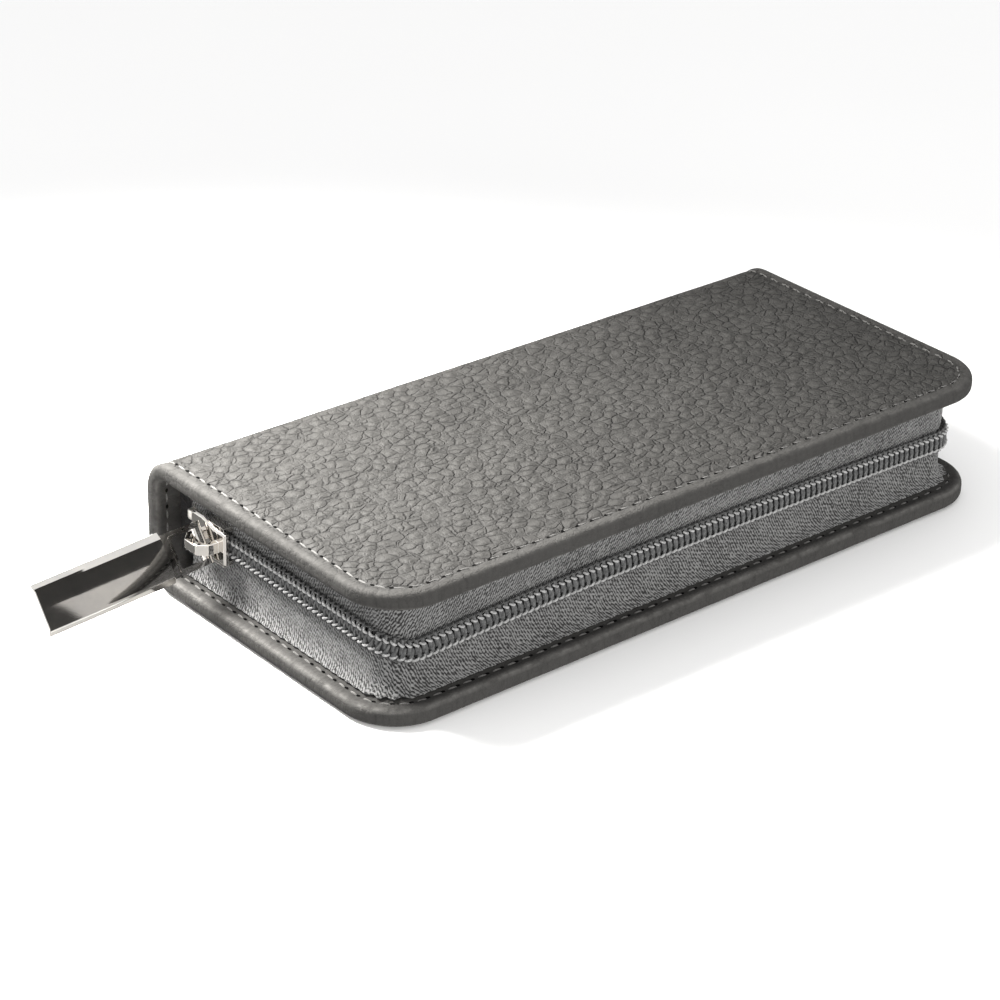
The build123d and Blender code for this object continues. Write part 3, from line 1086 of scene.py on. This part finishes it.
def rounded_rib(name, low, high, finish):
    """Padded rib: a crowned bar with a seam pressed in along both sides of its top."""
    length = high[0] - low[0]
    middle_y = (low[1] + high[1]) / 2
    half = (high[1] - low[1]) / 2 - 0.1
    section_points = []
    for k in range(20):
        angle = math.pi * k / 19
        section_points.append((math.cos(angle), math.sin(angle)))
    rings = []
    columns = 140
    cuts = []
    for i in range(columns):
        share = i / (columns - 1)
        x = low[0] + length * share
        end = min(share, 1 - share) * length
        taper = math.sqrt(max(0.02, 1 - max(0.0, 1 - end / half) ** 2))
        puff = 1.0 + 0.05 * math.sin(x * 2 * math.pi / 3.2) + 0.05 * wave(x / 9, 4)
        ring = [(x, middle_y + half * taper * 0.9, low[2])]
        for c, s in section_points:
            seam = 0.16 if 0.35 < s < 0.62 else 0.0
            y = middle_y + c * (half * puff - seam) * taper
            z = high[2] - half * 1.6 + s * half * 1.6 * (0.92 + 0.08 * taper)
            ring.append((x, y, z))
        ring.append((x, middle_y - half * taper * 0.9, low[2]))
        rings.append(ring)
        cuts += [(share * length, k * 0.7) for k in range(len(ring))]
    count = len(rings[0])
    points = [p for ring in rings for p in ring]
    faces = []
    for i in range(columns - 1):
        for k in range(count):
            a = i * count + k
            b = i * count + (k + 1) % count
            faces.append((a, a + count, b + count, b))
    faces.append(tuple(range(count)))
    last = (columns - 1) * count
    faces.append(tuple(range(last, last + count))[::-1])
    mesh = make_mesh(name, points, faces, finish, crisp=60)
    add_cut(mesh, cuts)
    return new_object(name, mesh)


def arched_band(name, low, high, finish):
    """Elastic band over a bay, sewn down at both ends, with a slight sag and rolled edges."""
    width = high[0] - low[0]
    span = high[1] - low[1]
    rise = high[2] - low[2] - 0.4
    bend = 2.2
    line = [(low[1] + 0.4, low[2] + 0.3)]
    for k in range(9):
        angle = math.pi - math.pi / 2 * k / 8
        line.append((
            low[1] + 0.4 + bend + bend * math.cos(angle), low[2] + rise - bend + bend * math.sin(angle),
        ))
    for k in range(1, 12):
        share = k / 12
        sag = 0.7 * math.sin(math.pi * share)
        line.append((low[1] + 0.4 + bend + (span - 0.8 - 2 * bend) * share, low[2] + rise - sag))
    for k in range(9):
        angle = math.pi / 2 - math.pi / 2 * k / 8
        line.append((
            high[1] - 0.4 - bend + bend * math.cos(angle), low[2] + rise - bend + bend * math.sin(angle),
        ))
    line.append((high[1] - 0.4, low[2] + 0.3))
    columns = 15
    points = []
    cuts = []
    travelled = 0.0
    for k, (y, z) in enumerate(line):
        if k:
            travelled += math.hypot(y - line[k - 1][0], z - line[k - 1][1])
        for i in range(columns):
            share = i / (columns - 1)
            points.append((low[0] + width * share, y, z))
            cuts.append((width * share, travelled))
    faces = grid_faces(len(line), columns)
    mesh = make_mesh(name, points, faces, finish)
    add_cut(mesh, [(b, a) for a, b in cuts])
    piece = new_object(name, mesh)
    thicken(piece, 0.7, 0.15)
    return piece, travelled


def build_fittings():
    pad_cloth = soft_cloth("charcoal_rib_cloth", 0.024)
    elastic = ribbed_elastic("black_elastic")
    low, high = cad_size("bay_divider")
    rib = rounded_rib("padded_rib", low, high, pad_cloth)
    stand_for(rib, "base", "bay_divider")
    for side in ("front", "rear"):
        low, high = cad_size(side + "_keeper")
        band, length = arched_band(side + "_elastic_band", low, high, elastic)
        stand_for(band, "base", side + "_keeper")
    build_pocket()


def build_pocket():
    """Slip pocket, its bound mouth, seam stitches and the folded cloth in it."""
    low, high = cad_size("lens_pocket")
    cloth = soft_cloth("slate_pocket_cloth", 0.036, 0.5, -0.01)
    pocket = flat_sheet("slip_pocket", low, high, cloth, False, 0.0, 0.6, 1.5, 0.3)
    stand_for(pocket, "lid", "lens_pocket")
    thread = thread_finish("slate_thread", 0.2, 0.0)
    stitch = stitch_unit("pocket_stitch_unit", 1.7, 0.16, 0.08)
    edge = 1.1
    z = low[2] + 0.28
    path = [(low[0] + edge, high[1] - 1, z), (low[0] + edge, low[1] + edge, z),
            (high[0] - edge, low[1] + edge, z), (high[0] - edge, high[1] - 1, z)]
    row = lay_row("pocket_seam", path, [(0, 0, -1)] * 4, stitch, 2.5, thread)
    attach(row, "lid")
    band_low, band_high = cad_size("pocket_binding")
    ribbon = ribbed_elastic("grey_grosgrain")
    binding = folded_edge("pocket_edge_binding", band_low, band_high, ribbon)
    stand_for(binding, "lid", "pocket_binding")
    wipe = soft_cloth("pale_wiping_cloth", 0.16, 0.4, -0.02)
    cloth_low, cloth_high = cad_size("lens_cloth")
    folded = folded_cloth("folded_wiping_cloth", cloth_low, cloth_high, wipe)
    stand_for(folded, "lid", "lens_cloth")


def folded_edge(name, low, high, finish):
    """Narrow ribbon folded over an edge: a flattened tube along the pocket's mouth."""
    middle_z = (low[2] + high[2]) / 2
    middle_y = (low[1] + high[1]) / 2
    columns = 120
    sides = 14
    points = []
    cuts = []
    for i in range(columns):
        share = i / (columns - 1)
        x = low[0] + (high[0] - low[0]) * share
        wobble = 0.05 * wave(x / 5, 2)
        for s in range(sides):
            angle = 2 * math.pi * s / sides
            y = middle_y + (high[1] - low[1]) / 2 * math.copysign(abs(math.cos(angle)) ** 0.6, math.cos(angle))
            tall = (high[2] - low[2]) / 2 + wobble
            z = middle_z + tall * math.copysign(abs(math.sin(angle)) ** 0.6, math.sin(angle))
            points.append((x, y, z))
            cuts.append((x - low[0], s * 0.35))
    faces = []
    for i in range(columns - 1):
        for s in range(sides):
            a = i * sides + s
            b = i * sides + (s + 1) % sides
            faces.append((a, b, b + sides, a + sides))
    faces.append(tuple(range(sides))[::-1])
    last = (columns - 1) * sides
    faces.append(tuple(range(last, last + sides)))
    mesh = make_mesh(name, points, [f[::-1] for f in faces], finish)
    add_cut(mesh, cuts)
    return new_object(name, mesh)


def folded_cloth(name, low, high, finish):
    """Cloth folded once, with its fold inside the pocket and its pinked edges at the mouth."""
    depth = high[1] - low[1]
    fold = (high[2] - low[2]) / 2 - 0.08
    middle = (low[2] + high[2]) / 2
    line = [(high[1] - 0.2 - (depth - 1.5) * k / 30, middle + fold) for k in range(31)]
    for k in range(1, 6):
        angle = math.pi / 2 + math.pi * k / 6
        line.append((line[30][0] + fold * math.cos(angle), middle + fold * math.sin(angle)))
    line += [(line[30][0] + (depth - 1.5) * k / 30, middle - fold) for k in range(31)]
    columns = 122
    points = []
    cuts = []
    travelled = 0.0
    for k, (y, z) in enumerate(line):
        if k:
            travelled += math.hypot(y - line[k - 1][0], z - line[k - 1][1])
        for i in range(columns):
            x = low[0] + (high[0] - low[0]) * i / (columns - 1)
            pinked = (0.35 if i % 2 else 0.0) if k in (0, len(line) - 1) else 0.0
            points.append((x, y - pinked, z))
            cuts.append((x - low[0], travelled))
    faces = grid_faces(len(line), columns, flip=True)
    mesh = make_mesh(name, points, faces, finish)
    add_cut(mesh, cuts)
    piece = new_object(name, mesh)
    thicken(piece, 0.14)
    return piece


# ---- hardware and small CAD nodes

def build_hardware():
    nickel = polished_nickel("polished_nickel")
    rubbed = polished_nickel("rubbed_nickel_edge", 0.45)
    satin = polished_nickel("satin_stop_metal", 0.45)
    for node, body, slot, radius, finish, edge in (
        ("zip_slider", "slider", "slider_metal", 0.15, nickel, rubbed),
        ("pull_tab", "pull", "pull_metal", 0.36, nickel, rubbed),
        ("lower_stop_left", "base", "stop_metal", 0.35, satin, satin),
        ("lower_stop_right", "base", "stop_metal", 0.35, satin, satin),
        ("upper_stop_left", "lid", "stop_metal", 0.35, satin, satin),
        ("upper_stop_right", "lid", "stop_metal", 0.35, satin, satin),
    ):
        piece = rounded_casting(node, radius, finish, edge)
        stand_for(piece, body, node)
    board = grey_board("raw_board")
    foam = open_foam("pale_foam")
    for node in ("base_board", "lid_board", "spine_board"):
        repaint(node, board)
    for node in ("base_foam", "lid_foam"):
        repaint(node, foam)


def rounded_casting(node, radius, finish, edge_finish):
    """Copy of a CAD solid with its edges rounded, as a polished casting's are."""
    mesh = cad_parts[node].data.copy()
    mesh.name = node + "_casting"
    shape = bmesh.new()
    shape.from_mesh(mesh)
    bmesh.ops.remove_doubles(shape, verts=shape.verts, dist=0.00001)
    bmesh.ops.dissolve_limit(
        shape, angle_limit=math.radians(2), verts=shape.verts, edges=shape.edges,
    )
    shape.to_mesh(mesh)
    shape.free()
    mesh.materials.clear()
    mesh.materials.append(finish)
    mesh.materials.append(edge_finish)
    piece = new_object(node + "_casting", mesh)
    edge = piece.modifiers.new("edge", "BEVEL")
    edge.width = radius * MM
    edge.segments = 2
    edge.limit_method = "ANGLE"
    edge.angle_limit = math.radians(32)
    edge.use_clamp_overlap = True
    edge.material = 1
    mesh.shade_smooth()
    flat = piece.modifiers.new("flat", "WEIGHTED_NORMAL")
    flat.weight = 100
    return settle(piece)


def repaint(node, finish):
    """Gives a kept CAD node a better finish."""
    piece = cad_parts[node]
    piece.data.materials.clear()
    piece.data.materials.append(finish)


def end_webs():
    """Soft leather webs that close the two ends of the spine."""
    finish = pebbled_leather("black_web_leather", grey(0.008), grey(0.035))
    for side in ("left", "right"):
        low, high = cad_size("end_patch_" + side)
        rows = 12
        columns = 30
        points = []
        wear = []
        outward = -1.0 if side == "left" else 1.0
        x0 = low[0] if side == "left" else high[0]
        for j in range(rows):
            share = j / (rows - 1)
            y = low[1] + (high[1] - low[1]) * share
            for i in range(columns):
                z = low[2] + (high[2] - low[2]) * i / (columns - 1)
                hollow = 0.8 * math.sin(math.pi * share) * math.sin(math.pi * i / (columns - 1))
                points.append((x0 - outward * hollow, y, z))
                wear.append(0.0)
        faces = grid_faces(rows, columns, flip=side == "right")
        mesh = make_mesh("end_web_" + side, points, faces, finish)
        add_values(mesh, "wear", wear)
        for extra in ("smooth", "run", "girth"):
            add_values(mesh, extra, wear)
        piece = new_object("end_web_" + side, mesh)
        thicken(piece, 0.6)
        stand_for(piece, "spine", "end_patch_" + side)


# ---- studio

def build_studio():
    floor_finish = Finish("pale_floor")
    tint = floor_finish.noise(floor_finish.place(), 180.0, 2.0)
    colour = floor_finish.blend(tint, (0.9, 0.9, 0.9, 1), (0.93, 0.93, 0.93, 1))
    floor_finish.set(Base_Color=colour, Roughness=0.9)
    floor_finish.set(Specular_IOR_Level=0.1)
    reach = 3000.0
    low = -0.3
    corners = [(-reach, -reach, low), (reach, -reach, low), (reach, reach, low), (-reach, reach, low)]
    floor = new_object("floor", make_mesh("floor", corners, [(0, 1, 2, 3)], floor_finish.material, False))
    floor.visible_diffuse = False
    world = bpy.data.worlds.new("studio")
    scene.world = world
    world.use_nodes = True
    world.node_tree.nodes["Background"].inputs["Color"].default_value = (1.0, 1.0, 1.0, 1.0)
    world.node_tree.nodes["Background"].inputs["Strength"].default_value = 1.0
    add_light("left_softbox", (-122, 140, 215), (-96, 38, 28), 120, 1.6, 84)
    add_light("front_softbox", (-250, -700, 110), (0, 0, 14), 400, 5.0, 170)
    add_card("dark_card_floor", (-113, 26), (-81, 26), (0.3, 0.3), 0.04, 80)
    add_card("pale_card_floor", (-240, -140), (-40, -140), (0.2, 0.2), 0.7, 165)
    add_card("dark_card_right", (-500, 800), (900, -40), (5, 900), 0.03)
    add_card("dark_card_front", (-260, -141), (200, -141), (20, 260), 0.03)
    add_card("pale_card_front", (-36, -139), (200, -139), (18, 101.7), 0.6)
    scene.view_settings.view_transform = "Standard"


def add_card(name, start, end, heights, level, back=0.0):
    """Card that only gloss sees: upright between two places on the floor, or lying with a depth."""
    finish = Finish(name)
    tint = finish.noise(finish.place(), 90.0, 2.0)
    colour = finish.blend(tint, grey(level * 0.95, 0.02), grey(level * 1.05, 0.02))
    finish.set(Base_Color=(0, 0, 0, 1), Roughness=1.0, Emission_Color=colour, Emission_Strength=1.0)
    low, high = heights
    points = [
        (*start, low), (*end, low), (end[0], end[1] + back, high), (start[0], start[1] + back, high),
    ]
    card = new_object(name, make_mesh(name, points, [(0, 1, 2, 3)], finish.material, False))
    card.visible_camera = False
    card.visible_diffuse = False
    card.visible_shadow = False
    card.visible_transmission = False


def add_light(name, place, target, size, power, spread):
    light = bpy.data.lights.new(name, "AREA")
    light.shape = "SQUARE"
    light.size = size * MM
    light.energy = power
    light.spread = math.radians(spread)
    light.color = (1.0, 0.985, 0.95)
    lamp = bpy.data.objects.new(name, light)
    scene.collection.objects.link(lamp)
    lamp.location = Vector(place) * MM
    way = (Vector(target) - Vector(place)).normalized()
    lamp.rotation_euler = way.to_track_quat("-Z", "Y").to_euler()
    lamp.visible_camera = False
    return lamp


def build_camera():
    """Camera above the front left corner, turned a little about its own axis."""
    place = Vector((-368.9, -406.0, 295.3)) * MM
    ahead = Vector((0.5984, 0.6588, -0.4560)).normalized()
    roll = math.radians(2.32)
    right = ahead.cross(Vector((0, 0, 1))).normalized()
    above = right.cross(ahead)
    right, above = (
        right * math.cos(roll) + above * math.sin(roll), above * math.cos(roll) - right * math.sin(roll),
    )
    data = bpy.data.cameras.new("camera")
    data.lens = 110.44
    data.sensor_width = 36.0
    data.shift_x = -0.0836
    data.shift_y = -0.0260
    data.clip_start = 0.01
    camera = bpy.data.objects.new("camera", data)
    scene.collection.objects.link(camera)
    turn = Matrix((right, above, -ahead)).transposed()
    camera.matrix_world = Matrix.Translation(place) @ turn.to_4x4()
    scene.camera = camera


build_camera()
build_skins()
build_stitching()
build_gusset()
build_linings()
build_fittings()
end_webs()
build_hardware()
build_studio()
for unit in UNITS:
    bpy.data.objects.remove(unit)
